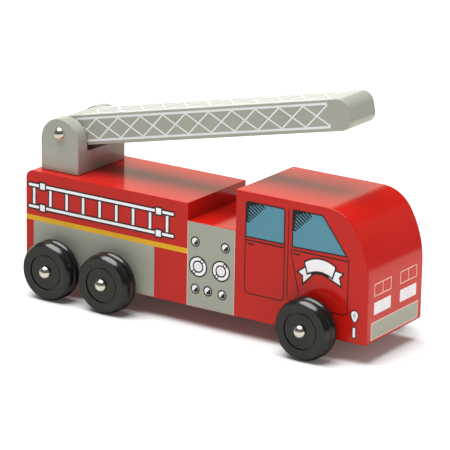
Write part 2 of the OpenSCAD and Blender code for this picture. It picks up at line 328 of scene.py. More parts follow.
def stroke(path, width):
    """Outline of a line of that width along a path, with mitred corners."""
    points = [Vector(p) for p in path]
    steps = [(b - a).normalized() for a, b in zip(points, points[1:])]
    edges = []
    for point, before, after in zip(points, steps[:1] + steps, steps + steps[-1:]):
        mitre = (before + after).normalized()
        reach = Vector((-mitre.y, mitre.x)) * (width / 2 / mitre.dot(after))
        edges.append((point + reach, point - reach))
    return [left for left, _ in edges] + [right for _, right in reversed(edges)]


def layout(origin, across, up, out):
    """Matrix that lays a drawing on a face: its x across, its y up and its z outwards."""
    matrix = Matrix((across, up, out)).transposed().to_4x4()
    matrix.translation = origin
    return matrix


# Making pieces

def as_piece(name, bm, materials, body, replaces=(), flat_faces=True):
    """Turns a bmesh in millimetres into an object that rides on a body."""
    bmesh.ops.remove_doubles(bm, verts=bm.verts, dist=MERGE)
    bmesh.ops.recalc_face_normals(bm, faces=bm.faces)
    bmesh.ops.scale(bm, vec=(MM, MM, MM), verts=bm.verts)
    mesh = bpy.data.meshes.new(name)
    bm.to_mesh(mesh)
    bm.free()
    for material in materials:
        mesh.materials.append(material)
    mesh.shade_smooth()
    mesh.set_sharp_from_angle(angle=SHARP)
    piece = bpy.data.objects.new(name, mesh)
    bpy.context.scene.collection.objects.link(piece)
    if flat_faces:
        piece.modifiers.new("flat faces stay flat", "WEIGHTED_NORMAL").keep_sharp = True
    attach(piece, body)
    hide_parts(*replaces)


def drawn_face(bm, outline, place):
    """A flat face with that outline, laid out in place."""
    return bm.faces.new([bm.verts.new(place @ Vector((x, y, 0))) for x, y in outline])


def push(bm, faces, way):
    """Extrudes faces by a vector and gives the faces that end up there."""
    made = bmesh.ops.extrude_face_region(bm, geom=faces)["geom"]
    bmesh.ops.translate(bm, vec=way, verts=[g for g in made if isinstance(g, bmesh.types.BMVert)])
    return [g for g in made if isinstance(g, bmesh.types.BMFace)]


def ease(bm, radius, chosen=lambda edge: True):
    """Rounds the sharp edges that are chosen."""
    sharp = [e for e in bm.edges if e.is_manifold and e.calc_face_angle() > SHARP and chosen(e)]
    bmesh.ops.bevel(bm, geom=sharp, offset=radius, offset_type="OFFSET", affect="EDGES",
                    segments=EASE_STEPS, profile=0.5, material=-1, clamp_overlap=True)


def spun(section, closed, steps):
    """A bmesh of a section, as (radius, height) points, turned about Y."""
    bm = bmesh.new()
    verts = [bm.verts.new((r, h, 0)) for r, h in section]
    pairs = list(zip(verts, verts[1:])) + ([(verts[-1], verts[0])] if closed else [])
    edges = [bm.edges.new(pair) for pair in pairs]
    bmesh.ops.spin(bm, geom=verts + edges, cent=(0, 0, 0), axis=Y, dvec=(0, 0, 0), angle=2 * math.pi,
                   steps=steps, use_merge=True, use_duplicate=False)
    bmesh.ops.remove_doubles(bm, verts=bm.verts, dist=MERGE)
    bmesh.ops.recalc_face_normals(bm, faces=bm.faces)
    return bm


# The three blocks of the body

side_plane = layout((0, -half_w, 0), X, Z, -Y)


def is_upright_at(edge, x):
    """True for an upright edge at that place along the body."""
    low, high = sorted(edge.verts, key=lambda v: v.co.z)
    return all(abs(v.co.x - x) < SAME for v in edge.verts) and high.co.z - low.co.z > SHORT


def make_rear_body():
    """The long block, rounded at its upper rear edge. Its edges at the seam stay sharp."""
    round_at = (rear_low.x + REAR_ROUND_R, rear_high.z - REAR_ROUND_R)
    outline = [(rear_low.x, underside), (rear_high.x, underside), (rear_high.x, rear_high.z)]
    outline += arc(round_at, REAR_ROUND_R, 90, 180, steps=10)
    bm = bmesh.new()
    push(bm, [drawn_face(bm, outline, side_plane)], 2 * half_w * Y)
    ease(bm, EASE, lambda edge: not is_upright_at(edge, rear_high.x))
    as_piece("painted_rear_body", bm, [red_lacquer], "truck", ["rear_body"])


def make_pump_section():
    """The low block: red on top, with both sides covered in grey ink."""
    bm = bmesh.new()
    outline = rectangle(pump_low.x, underside, pump_high.x, pump_high.z)
    push(bm, [drawn_face(bm, outline, side_plane)], 2 * half_w * Y)
    ease(bm, SEAM_EASE, lambda edge: abs(edge.verts[0].co.x - edge.verts[1].co.x) > SHORT)
    bm.normal_update()
    for face in bm.faces:
        face.material_index = int(abs(face.normal.y) > SQUARE)
    materials = [red_lacquer, inks["grey"]]
    as_piece("painted_pump_section", bm, materials, "truck", ["pump_section"])


def make_cab():
    """The tall block: an upright front that runs through two touching arcs into the roof."""
    brow = Vector((front_x - BROW_R, underside + FRONT_FLAT_H))
    roof_arc_z = cab_high.z - ROOF_R
    reach = math.sqrt((BROW_R - ROOF_R) ** 2 - (roof_arc_z - brow.y) ** 2)
    roof_arc = Vector((brow.x + reach, roof_arc_z))
    touch = math.degrees(math.atan2(roof_arc.y - brow.y, roof_arc.x - brow.x))
    outline = [(cab_low.x, underside)]
    outline += arc((front_x - FRONT_LOW_R, underside + FRONT_LOW_R), FRONT_LOW_R, -90, 0, steps=8)
    outline += arc(brow, BROW_R, 0, touch, steps=18)
    outline += arc(roof_arc, ROOF_R, touch, 90, steps=20)[1:]
    outline += [(cab_low.x, cab_high.z)]
    bm = bmesh.new()
    push(bm, [drawn_face(bm, outline, side_plane)], 2 * half_w * Y)
    ease(bm, CAB_EASE)
    as_piece("painted_cab", bm, [red_lacquer], "truck", ["cab"])


# The ladder and its base

boom_along = Vector((math.cos(pitch), 0, math.sin(pitch)))
boom_up = Vector((-math.sin(pitch), 0, math.cos(pitch)))


def half_fork(slot_floor):
    """The fork's right half: an arched ear, and the low part that reaches in to the middle."""
    arch_r = (base_high.x - base_low.x) / 2
    arch_z = base_high.z - arch_r
    near = layout((swivel.x, base_low.y, 0), X, Z, -Y)
    bm = bmesh.new()
    low_face = drawn_face(bm, rectangle(-arch_r, base_low.z, arch_r, slot_floor), near)
    ear = [(-arch_r, slot_floor), (arch_r, slot_floor)] + arc((0, arch_z), arch_r, 0, 180, steps=28)
    ear_face = drawn_face(bm, ear, near)
    bmesh.ops.remove_doubles(bm, verts=bm.verts, dist=MERGE)
    pushed = push(bm, [low_face, ear_face], (-slot_half - base_low.y) * Y)
    foot = [f for f in pushed if f.calc_center_median().z < slot_floor]
    middle = push(bm, foot, slot_half * Y)
    bmesh.ops.delete(bm, geom=foot + middle, context="FACES")
    return bm


def make_ladder_base():
    """The fork. The washer's recess is sunk into its underside, and the recess and the hole of the
    screw into the floor of its slot."""
    slot_floor = pivot.z - LADDER_UNDER - SLOT_FLOOR_GAP
    bm = half_fork(slot_floor)
    half = bm.verts[:] + bm.edges[:] + bm.faces[:]
    bmesh.ops.mirror(bm, geom=half, matrix=Matrix.Identity(4), merge_dist=MERGE, axis="Y")
    bmesh.ops.recalc_face_normals(bm, faces=bm.faces)
    bmesh.ops.dissolve_limit(bm, angle_limit=FLAT, verts=bm.verts, edges=bm.edges)
    ease(bm, EASE)
    washer_r = (swivel_washer_high.x - swivel_washer_low.x) / 2 + RECESS_ROOM
    ceiling = swivel_washer_high.z + UNDER_WASHER
    sink_recess(bm, base_low.z, washer_r, ceiling)
    head_r = (screw_washer_high.x - screw_washer_low.x) / 2 + RECESS_ROOM
    head_floor = sink_recess(bm, slot_floor, head_r, screw_washer_low.z - UNDER_WASHER)
    bmesh.ops.inset_region(bm, faces=head_floor, thickness=head_r - SCREW_HOLE_R, use_even_offset=True)
    hole_end = ceiling + SCREW_HOLE_STOP
    push(bm, head_floor, (hole_end - head_floor[0].verts[0].co.z) * Z)
    bmesh.ops.delete(bm, geom=head_floor, context="FACES")
    as_piece("painted_ladder_base", bm, [grey_lacquer], "ladder_base", ["ladder_base"])


def sink_recess(bm, face_z, radius, floor_z):
    """Cuts a round recess about the swivel axis into the level face at that height. Gives its floor."""
    level = [f for f in bm.faces if abs(f.calc_center_median().z - face_z) < SAME]
    face = max(level, key=lambda f: f.calc_area())
    border = list(face.edges)
    bmesh.ops.delete(bm, geom=[face], context="FACES_ONLY")
    at = Matrix.Translation((swivel.x, 0, face_z))
    rim = bmesh.ops.create_circle(bm, segments=RECESS_STEPS, radius=radius, matrix=at)["verts"]
    rim_edges = list({e for v in rim for e in v.link_edges})
    bmesh.ops.triangle_fill(bm, edges=border + rim_edges, use_beauty=True)
    wall = bmesh.ops.extrude_edge_only(bm, edges=rim_edges)["geom"]
    moved = [g for g in wall if isinstance(g, bmesh.types.BMVert)]
    bmesh.ops.translate(bm, vec=(floor_z - face_z) * Z, verts=moved)
    floor_edges = [g for g in wall if isinstance(g, bmesh.types.BMEdge)]
    return bmesh.ops.edgeloop_fill(bm, edges=floor_edges)["faces"]


def make_ladder():
    """The beam, half round at its foot and with two rounded corners at its tip."""
    middle = (LADDER_OVER - LADDER_UNDER) / 2
    low_corner = (LADDER_LEN - TIP_UNDER_R, TIP_UNDER_R - LADDER_UNDER)
    top_corner = (LADDER_LEN - TIP_OVER_R, LADDER_OVER - TIP_OVER_R)
    outline = arc((0, middle), (LADDER_OVER + LADDER_UNDER) / 2, 90, 270, steps=24)
    outline += arc(low_corner, TIP_UNDER_R, -90, 0, steps=10)
    outline += arc(top_corner, TIP_OVER_R, 0, 90, steps=10)
    bm = bmesh.new()
    near = layout((pivot.x, ladder_low.y, pivot.z), boom_along, boom_up, -Y)
    push(bm, [drawn_face(bm, outline, near)], (ladder_high.y - ladder_low.y) * Y)
    ease(bm, EASE)
    as_piece("painted_ladder", bm, [boom_lacquer], "ladder", ["ladder"])


# Wheels and caps

def wheel_section(radius, boss_h):
    """Half section of a wheel from its bore round the boss, the half-round inner rib, the groove and
    the long shoulder of the outer rib to the face, where a fine ring is cut round the sunk disc."""
    rib_r, groove_r = INNER_RIB_W / 2, radius - GROOVE_D
    rib_turn = math.degrees(math.acos((groove_r - radius + rib_r) / rib_r))
    shoulder_w = math.sqrt(SHOULDER_R ** 2 - (SHOULDER_R - SHOULDER_DROP) ** 2)
    shoulder = (radius - SHOULDER_R, WHEEL_W - shoulder_w)
    rib_end = INNER_RIB_W + GROOVE_W
    first = math.degrees(math.asin((rib_end - shoulder[1]) / SHOULDER_R))
    last = math.degrees(math.asin(shoulder_w / SHOULDER_R))
    disc_h, ring_h, ring_r = WHEEL_W - DISC_SINK, WHEEL_W - RING_D, DISC_R - RING_W
    section = [(WHEEL_BORE_R, -boss_h), (BOSS_R, -boss_h), (BOSS_R, 0), (groove_r, 0)]
    section += arc((radius - rib_r, rib_r), rib_r, -rib_turn, rib_turn, steps=16)
    section += [(groove_r, rib_end)]
    section += arc(shoulder, SHOULDER_R, first, last, steps=14)
    section += [(DISC_R, WHEEL_W), (DISC_R, ring_h), (ring_r, ring_h), (ring_r, disc_h)]
    return section + [(WHEEL_BORE_R, disc_h)]


def onto_side(bm, low, high, side, out=0):
    """Moves a turned shape to the middle of a node's box, facing out on its side of the engine."""
    seat = (low.y if side == "left" else -high.y) + out
    bmesh.ops.translate(bm, vec=((low.x + high.x) / 2, seat, (low.z + high.z) / 2), verts=bm.verts)
    bmesh.ops.scale(bm, vec=(1, SIDES[side], 1), verts=bm.verts)


def make_wheel(axle, side):
    """A wheel on one end of an axle."""
    node = f"wheel_{axle}_{side}"
    low, high = box_mm(node)
    boss_h = high.y - low.y - WHEEL_W
    radius = min(high.x - low.x, high.z - low.z) / 2
    bm = spun(wheel_section(radius, boss_h), closed=True, steps=WHEEL_STEPS)
    ease(bm, WHEEL_EASE)
    onto_side(bm, low, high, side, out=boss_h)
    as_piece(f"moulded_{node}", bm, [black_plastic], node, [node])


def make_cap(node, name, side, body):
    """A domed push cap on the end of a rod."""
    low, high = box_mm(node)
    dome_r = (CAP_R ** 2 + CAP_DOME_H ** 2) / (2 * CAP_DOME_H)
    rim = math.degrees(math.acos(CAP_R / dome_r))
    section = [(0, CAP_BORE_H), (CAP_BORE_R, CAP_BORE_H), (CAP_BORE_R, 0), (CAP_R, 0)]
    section += [(CAP_R, CAP_SKIRT_H)]
    section += arc((0, CAP_SKIRT_H + CAP_DOME_H - dome_r), dome_r, rim, 90, steps=14)[1:]
    bm = spun(section, closed=False, steps=CAP_STEPS)
    onto_side(bm, low, high, side)
    as_piece(name, bm, [nickel], body, [node])


# Prints

def ink_shape(bm, outline, bands, level=1, round_by=0, corners=()):
    """Adds one flat printed shape. Its bands of ink go from the edge inwards, each as (ink, width), and
    the last has no width and fills the rest."""
    flat = bmesh.new()
    verts = [flat.verts.new((x, y, -SINK)) for x, y in outline]
    flat.faces.new(verts)
    if round_by:
        bmesh.ops.bevel(flat, geom=[verts[i] for i in corners or range(len(verts))], offset=round_by,
                        affect="VERTICES", segments=INK_CORNER_STEPS, profile=0.5, material=-1)
    top = push(flat, flat.faces[:], (level * INK + SINK) * Z)
    names = list(inks)
    for face in flat.faces:
        face.material_index = names.index(bands[0][0])
    for (_, width), (next_ink, _) in zip(bands, bands[1:]):
        bmesh.ops.inset_region(flat, faces=top, thickness=width, use_boundary=True,
                               use_even_offset=True)
        for face in top:
            face.material_index = names.index(next_ink)
    shape = bpy.data.meshes.new("shape")
    flat.to_mesh(shape)
    flat.free()
    bm.from_mesh(shape)
    bpy.data.meshes.remove(shape)


def print_piece(name, shapes, place, body):
    """A print on one face: each shape is (outline, bands, options)."""
    bm = bmesh.new()
    for outline, bands, options in shapes:
        ink_shape(bm, outline, bands, **options)
    bmesh.ops.transform(bm, matrix=place, verts=bm.verts)
    used = sorted({face.material_index for face in bm.faces})
    for face in bm.faces:
        face.material_index = used.index(face.material_index)
    materials = [list(inks.values())[i] for i in used]
    as_piece(name, bm, materials, body, flat_faces=False)


def plain(ink):
    """Bands of a shape in one ink."""
    return [(ink, None)]


def outlined(line, ink="white"):
    """Bands of a shape with a black line round it."""
    return [("black", line), (ink, None)]


# Prints on the flanks are drawn with x from the body's rear and heights from the floor

# Printed ladder on the rear body
RAIL_HEIGHTS = (81.2, 64.6)
RAIL_ENDS = (2.6, 133.9)
RAIL_W, RAIL_ROUND = 2.1, 1.9
RUNG_FIRST, RUNG_STEP, RUNG_COUNT, RUNG_W = 7.6, 15.05, 9, 2.2
CLAMPS_AT = (15.4, 120.5)
CLAMP_W, CLAMP_H = 4.5, 4.7
LADDER_LINE = 1.1


def ladder_print():
    """Rungs, with the rails over them and the clamps over the rails."""
    shapes = []
    rung_half, rail_reach = RUNG_W / 2, RAIL_W / 2 + LADDER_LINE
    for i in range(RUNG_COUNT):
        x = RUNG_FIRST + i * RUNG_STEP
        for half, ink, level in ((rung_half + LADDER_LINE, "black", 1), (rung_half, "white", 2)):
            rung = rectangle(x - half, RAIL_HEIGHTS[1], x + half, RAIL_HEIGHTS[0])
            shapes.append((rung, plain(ink), {"level": level}))
    rail_start, rail_end = RAIL_ENDS[0] - LADDER_LINE, RAIL_ENDS[1] + LADDER_LINE
    reach_x, reach_z = CLAMP_W / 2 + LADDER_LINE, CLAMP_H / 2 + LADDER_LINE
    for height in RAIL_HEIGHTS:
        rail = rectangle(rail_start, height - rail_reach, rail_end, height + rail_reach)
        shapes.append((rail, outlined(LADDER_LINE), {"level": 3, "round_by": RAIL_ROUND}))
        for x in CLAMPS_AT:
            clamp = rectangle(x - reach_x, height - reach_z, x + reach_x, height + reach_z)
            shapes.append((clamp, outlined(LADDER_LINE), {"level": 4}))
    return shapes


# Stripe and grey panel on the rear body: heights of the stripe, and the panel's ends
STRIPE = (54.0, 57.8)
PANEL = (7.1, 117.0)


def stripe_print():
    """A yellow stripe along the whole block."""
    return [(rectangle(EASE, STRIPE[0], rear_high.x - rear_low.x, STRIPE[1]), plain("yellow"), {})]


def panel_print():
    """A grey panel behind the wheels, from the block's lower edge up to the stripe."""
    return [(rectangle(PANEL[0], underside + EASE, PANEL[1], STRIPE[0]), plain("grey"), {})]


# Knobs and gauges on the pump section
KNOBS = ((152.8, 64.3), (178.7, 64.2), (153.3, 28.9), (164.2, 29.1), (176.6, 28.6))
KNOB_D, KNOB_LINE = 7.8, 1.05
KNOB_SHADE_AT, KNOB_SHADE_R, KNOB_SHADE_TURNS = Vector((0.15, -0.1)), 2.45, (-135, 55)
GAUGES = ((155.5, 46.0), (175.2, 46.2))
GAUGE_D, GAUGE_LINE, GAUGE_RING_D, GAUGE_RING_W = 15.8, 1.1, 9.3, 1.1
DIAL_EDGE_W, DIAL_MARK_W = 1.5, 0.5
LUG, LUG_OUT, LUG_LINE = 3.1, 5.6, 0.75
LUG_TURNS = (53, 232)
PUMP_EDGE_W = 0.5


def knob(at):
    """A white knob with a black shade over its lower front half."""
    shade = arc(at + KNOB_SHADE_AT, KNOB_SHADE_R, *KNOB_SHADE_TURNS, steps=14)
    return [(disc(at, KNOB_D), outlined(KNOB_LINE), {}), (shade, plain("black"), {"level": 2})]


def gauge(at):
    """A white rim round a ringed dial, with two square lugs on the rim."""
    rim_w = (GAUGE_D - GAUGE_RING_D) / 2 - GAUGE_LINE
    bands = [("black", GAUGE_LINE), ("white", rim_w), ("black", GAUGE_RING_W)]
    bands += [("white", DIAL_EDGE_W), ("pale", DIAL_MARK_W), ("white", None)]
    shapes = [(disc(at, GAUGE_D), bands, {})]
    for turn in LUG_TURNS:
        a = math.radians(turn)
        spoke = Vector((math.cos(a), math.sin(a)))
        lug_at = at + spoke * LUG_OUT
        lug = stroke([lug_at - spoke * LUG / 2, lug_at + spoke * LUG / 2], LUG)
        shapes.append((lug, outlined(LUG_LINE), {"level": 2}))
    return shapes


def pump_print():
    """Controls on the grey side, which has a thin pale line down its edges."""
    shapes = []
    for x in (pump_low.x - rear_low.x, pump_high.x - rear_low.x - PUMP_EDGE_W):
        edge = rectangle(x, underside + EASE, x + PUMP_EDGE_W, pump_high.z - EASE)
        shapes.append((edge, plain("cream"), {}))
    for at in KNOBS:
        shapes += knob(Vector(at))
    for at in GAUGES:
        shapes += gauge(Vector(at))
    return shapes


# Cab windows, each from its lower rear corner round to its upper rear one
WINDOW_LINE = 1.0
REAR_WINDOW = ((195.3, 76.0), (228.6, 76.0), (228.6, 102.8), (195.3, 102.8))
FRONT_WINDOW = ((234.4, 75.6), (280.6, 76.6), (259.6, 103.6), (234.3, 103.5))
REAR_WINDOW_ROUND, FRONT_WINDOW_ROUND = 3, 1.6
UPPER_CORNERS = (2, 3)
# Shading in the windows, from the upper rear corner: two dark bands, and strokes that lean out of them
HATCH_INSET = 0.7
HATCH_SIDE = ((0, 0), (0, -15.2), (1.1, -15.2), (2.6, 0))
HATCH_TOP = ((0.1, -0.1), (0.1, -3.6), (11, -0.1))
HATCH_COUNT = 9
HATCH_MARKS = (-10.4, 7.0)
HATCH_LEAN = Vector((0.81, -0.58))
HATCH_REACH = 17.8
HATCH_FOOT_W, HATCH_TIP_W = 1.35, 0.9


def hatching(corner):
    """The strokes are evenly spaced, start on the window's edge and end on one slanting line."""
    shapes = []
    for level, band in ((2, HATCH_SIDE), (3, HATCH_TOP)):
        shapes.append(([corner + Vector(point) for point in band], plain("black"), {"level": level}))
    across = Vector((-HATCH_LEAN.y, HATCH_LEAN.x))
    foot_half, tip_half = across * HATCH_FOOT_W / 2, across * HATCH_TIP_W / 2
    for i in range(HATCH_COUNT):
        mark = HATCH_MARKS[0] + i / (HATCH_COUNT - 1) * (HATCH_MARKS[1] - HATCH_MARKS[0])
        start = Vector((mark / across.x, 0)) if mark > 0 else Vector((0, mark / across.y))
        length = (HATCH_REACH - start.x + start.y) / (HATCH_LEAN.x - HATCH_LEAN.y)
        foot, tip = corner + start, corner + start + HATCH_LEAN * length
        line = [foot + foot_half, foot - foot_half, tip - tip_half, tip + tip_half]
        shapes.append((line, plain("black"), {"level": 4}))
    return shapes


def window_print():
    """Blue panes with a black line, rounded at their upper corners, and the shading on them."""
    shapes = []
    inset = Vector((WINDOW_LINE, -WINDOW_LINE)) * HATCH_INSET
    for window, round_by in ((REAR_WINDOW, REAR_WINDOW_ROUND), (FRONT_WINDOW, FRONT_WINDOW_ROUND)):
        options = {"round_by": round_by, "corners": UPPER_CORNERS}
        shapes.append((window, outlined(WINDOW_LINE, "blue"), options))
        shapes += hatching(Vector(window[-1]) + inset)
    return shapes


# Cab doors: belt lines and handles are given as their two ends and their height
DOOR_LINE, BELT_LINE = 0.72, 0.9
REAR_DOOR_X, REAR_DOOR_Z, REAR_DOOR_R = (195.5, 228.4), (34.5, 76), 3.1
FRONT_DOOR_REAR = ((233.6, 73.6), (242.9, 34.2))
FRONT_DOOR_ROUND_AT, FRONT_DOOR_R = (277.8, 37.6), 3.4
FRONT_DOOR_TOP = (281.3, 76.6)
PILLAR_X, PILLAR_Z = 231.4, (37.8, 103.2)
BELTS = ((195.8, 228.1, 74.0), (234.0, 281.0, 73.8))
HANDLES = ((197.7, 202.9, 71.5), (235.6, 241.4, 71.2))
HANDLE_W, HANDLE_ROUND = 1.0, 0.4


def door_print():
    """The lines of both doors and of the pillar between them, with a belt line and a handle on each."""
    (rear, front), (low, top), r = REAR_DOOR_X, REAR_DOOR_Z, REAR_DOOR_R
    rear_door = [(rear, top)] + arc((rear + r, low + r), r, 180, 270, steps=6)
    rear_door += arc((front - r, low + r), r, 270, 360, steps=6) + [(front, top)]
    front_door = [*FRONT_DOOR_REAR, *arc(FRONT_DOOR_ROUND_AT, FRONT_DOOR_R, 270, 360, steps=6)]
    front_door += [FRONT_DOOR_TOP]
    pillar = [(PILLAR_X, z) for z in PILLAR_Z]
    shapes = [(stroke(line, DOOR_LINE), plain("black"), {}) for line in (rear_door, front_door, pillar)]
    for x0, x1, z in BELTS:
        shapes.append((stroke([(x0, z), (x1, z)], BELT_LINE), plain("black"), {"level": 2}))
    for x0, x1, z in HANDLES:
        handle = stroke([(x0, z), (x1, z)], HANDLE_W)
        shapes.append((handle, plain("black"), {"level": 2, "round_by": HANDLE_ROUND}))
    return shapes


# A blank ribbon on the front door: its tails, and its curved lines as two ends and a rise
RIBBON_LINE = 1.15
RIBBON_REAR_TAIL = ((246.0, 64.2), (238.4, 58.5), (243.3, 56.2), (243.8, 48.9), (254.2, 60.0))
RIBBON_FRONT_TAIL = ((271.0, 65.9), (278.4, 64.5), (274.9, 60.4), (276.9, 53.3), (263.4, 58.7))
RIBBON_TOP = ((244.6, 67.1), (271.9, 67.8), 4.5)
RIBBON_FOOT = ((247.5, 57.5), (268.7, 58.0), 3.3)
RIBBON_SHADE, RIBBON_SHADE_W = ((250.8, 59.0), (264.4, 59.6), 1.2), 1.5


def ribbon_print():
    """Two tails, the shade under the band, and the arched band over them."""
    shapes = [(tail, outlined(RIBBON_LINE), {}) for tail in (RIBBON_REAR_TAIL, RIBBON_FRONT_TAIL)]
    shade = stroke(bulge(*RIBBON_SHADE), RIBBON_SHADE_W)
    band = bulge(*RIBBON_TOP) + bulge(*RIBBON_FOOT)[::-1]
    shapes.append((shade, plain("black"), {"level": 2}))
    shapes.append((band, outlined(RIBBON_LINE), {"level": 3}))
    return shapes


# Lamps beside the cab's front edge
LAMP_LINE, LAMP_RIM_W = 0.9, 1.5
HEADLAMP_AT, HEADLAMP_R, HEADLAMP_TURNS = (287.3, 36.1), 3.7, (-18, 198)
HEADLAMP_FOOT = ((285.2, 31.4), (287.9, 29.6), (289.8, 32.1))
INDICATOR, INDICATOR_ROUND = (285.3, 18.8, 289.1, 27.6), 1.1


def lamp_print():
    """The headlamp's drop, and the indicator's bar under it."""
    drop = arc(HEADLAMP_AT, HEADLAMP_R, *HEADLAMP_TURNS, steps=18) + list(HEADLAMP_FOOT)
    glass = [("black", LAMP_LINE), ("white", LAMP_RIM_W), ("pale", None)]
    bar = rectangle(*INDICATOR)
    return [(drop, glass, {}), (bar, outlined(LAMP_LINE), {"round_by": INDICATOR_ROUND})]


# Front: y across, heights from the floor
GRILLE_Y = (6.4, 17.6, 29.0)
GRILLE_Z = (49.2, 58.5)
GRILLE_LINE = 0.65
PANES_Z = (35.8, 44.7)
BUMPER_Y, BUMPER_Z = 32.4, (17.7, 30.7)
# Width of the cream border round the bumper, a painted highlight along its edges
BUMPER_HIGHLIGHT_W = 0.7


def front_print():
    """On each half a grille of two open cells and a pane under it, and the bumper across both, edged
    with a painted highlight in cream ink.
    """
    shapes = []
    inner, middle, outer = GRILLE_Y
    for sign in SIDES.values():
        for y in GRILLE_Y:
            upright = stroke([(sign * y, z) for z in GRILLE_Z], GRILLE_LINE)
            shapes.append((upright, plain("cream"), {}))
        for ends in ((inner, middle), (middle, outer)):
            for z in (GRILLE_Z[0] + GRILLE_LINE / 2, GRILLE_Z[1] - GRILLE_LINE / 2):
                bar = stroke([(sign * y, z) for y in ends], GRILLE_LINE)
                shapes.append((bar, plain("cream"), {"level": 2}))
        pane = rectangle(sign * inner, PANES_Z[0], sign * outer, PANES_Z[1])
        divider = stroke([(sign * middle, z) for z in PANES_Z], GRILLE_LINE)
        shapes += [(pane, plain("milky"), {}), (divider, plain("pale"), {"level": 2})]
    bumper = rectangle(-BUMPER_Y, BUMPER_Z[0], BUMPER_Y, BUMPER_Z[1])
    # The bumper's cream border is a painted highlight along its edges, round the grey ink
    shapes.append((bumper, [("cream", BUMPER_HIGHLIGHT_W), ("grey", None)], {}))
    return shapes


# Lattice on the sides and the top of the ladder: along it from the pivot, and up from the pivot line
LATTICE_STARTS = (12.6, 7.4)
LATTICE_FIRST, LATTICE_PITCH, LATTICE_CELLS = 26.1, 20.3, 10
LATTICE_LOW, LATTICE_TOP = -8.7, 7.9
LATTICE_EDGE = 4
LATTICE_RAIL_W, LATTICE_BAR_W = 1.7, 1.1


def lattice_print(rail_low, rail_top):
    """Two rails with crossing bars between them. The first cell is cut short beside the pivot."""
    end = LATTICE_FIRST + LATTICE_CELLS * LATTICE_PITCH
    shapes = []
    for start, v in zip(LATTICE_STARTS, (rail_low, rail_top)):
        shapes.append((stroke([(start, v), (end, v)], LATTICE_RAIL_W), plain("frost"), {}))
    low, top = rail_low + LATTICE_RAIL_W / 2, rail_top - LATTICE_RAIL_W / 2
    for i in range(-1, LATTICE_CELLS):
        a = LATTICE_FIRST + i * LATTICE_PITCH
        b = a + LATTICE_PITCH
        start = max(a, *LATTICE_STARTS)
        climbed = (start - a) / LATTICE_PITCH * (top - low)
        for level, ends in ((1, (low + climbed, top)), (2, (top - climbed, low))):
            bar = stroke([(start, ends[0]), (b, ends[1])], LATTICE_BAR_W)
            shapes.append((bar, plain("frost"), {"level": level}))
    return shapes


# Carried-over nodes of the frame

def finish_nodes():
    """Gives the pieces that stay as the frame has them their own finish."""
    finishes = {"pump_dowels": beech, "cab_dowels": beech, "swivel_washer": fibre}
    finishes |= {node: steel for node in ("swivel_screw", "screw_washer", "pivot_pin")}
    finishes |= {f"{axle}_axle": steel for axle in AXLES}
    finishes |= {f"pivot_washer_{side}": fibre for side in SIDES}
    for node, material in finishes.items():
        for slot in frame["nodes"][node].material_slots:
            slot.material = material


# Studio

CAMERA_AZIMUTH = math.radians(33.52)
CAMERA_ELEVATION = math.radians(16.97)
CAMERA_ROLL = math.radians(1.04)
CAMERA_DISTANCE, CAMERA_LENS, CAMERA_SENSOR = 2043.4, 224.9, 36
CAMERA_TARGET = Vector((4.2, 0, 67.7))
# How far the camera sees, in metres
CAMERA_REACH = 100
KEY_FROM = Vector((-0.12, -0.10, 0.985))
KEY_ANGLE = math.radians(55)
KEY_STRENGTH = 5.2
FILL = 0.18
# The room in reflections: the grey wall beside the backdrop, the dark over it, and the share of the
# wall's light that is left towards the front. Edges to the side are cosines of the angle from the way
# the camera looks, and edges above are sines of the angle from level.
ROOM_WALL, ROOM_DARK, ROOM_FRONT = 0.3, 0.1, 0.3
WALL_EDGE = (0.46, 0.53)
WALL_TURN = (0.34, 0.42)
# The backdrop in reflections: how bright it is at its foot and its top, where it ends above and beside,
# and its tint at its foot and its top
BACKDROP_LIGHT = (1.42, 0.84)
BACKDROP_TOP = (0.315, 0.46)
BACKDROP_EDGE = (0.45, 0.75)
BACKDROP_TINTS = ("#FFFFFF", "#FFF7DE")
FLOOR_REACH = 6000
# The floor as it lights the engine, as the camera sees it, and as reflections show it near and far
FLOOR_TONE, FLOOR_SEEN = "#D4D4D4", "#DEE0E0"
FLOOR_MIRRORED = ("#AEABA1", "#545454")
FLOOR_MIRRORED_REACH = (520, 580)
# The camera sees the shadow lifted a little, and more so under the front
FLOOR_GLOW = (0.04, 0.13)
FLOOR_GLOW_X = (90, 140)
GLOW_TINT = "#FFF3E8"
# The floor ahead of the engine glows, unseen by the camera, and reflections show a share of that
FRONT_GLOW = 0.85
FRONT_GLOW_X = (150, 190)
MIRRORED_GLOW = 0.4


def make_camera():
    """A long lens, turned by a small roll about its own axis."""
    a, e = CAMERA_AZIMUTH, CAMERA_ELEVATION
    back = Vector((math.sin(a) * math.cos(e), -math.cos(a) * math.cos(e), math.sin(e)))
    right = Z.cross(back).normalized()
    up = back.cross(right)
    turned_right = math.cos(CAMERA_ROLL) * right + math.sin(CAMERA_ROLL) * up
    turned_up = math.cos(CAMERA_ROLL) * up - math.sin(CAMERA_ROLL) * right
    data = bpy.data.cameras.new("camera")
    data.lens = CAMERA_LENS
    data.sensor_width = CAMERA_SENSOR
    data.clip_end = CAMERA_REACH
    camera = bpy.data.objects.new("camera", data)
    eye = (CAMERA_TARGET + back * CAMERA_DISTANCE) * MM
    camera.matrix_world = layout(eye, turned_right, turned_up, back)
    bpy.context.scene.collection.objects.link(camera)
    bpy.context.scene.camera = camera


def make_key_light():
    """A large soft light overhead."""
    data = bpy.data.lights.new("overhead softbox", "SUN")
    data.angle = KEY_ANGLE
    data.energy = KEY_STRENGTH
    lamp = bpy.data.objects.new("overhead softbox", data)
    lamp.rotation_euler = KEY_FROM.to_track_quat("Z", "Y").to_euler()
    bpy.context.scene.collection.objects.link(lamp)


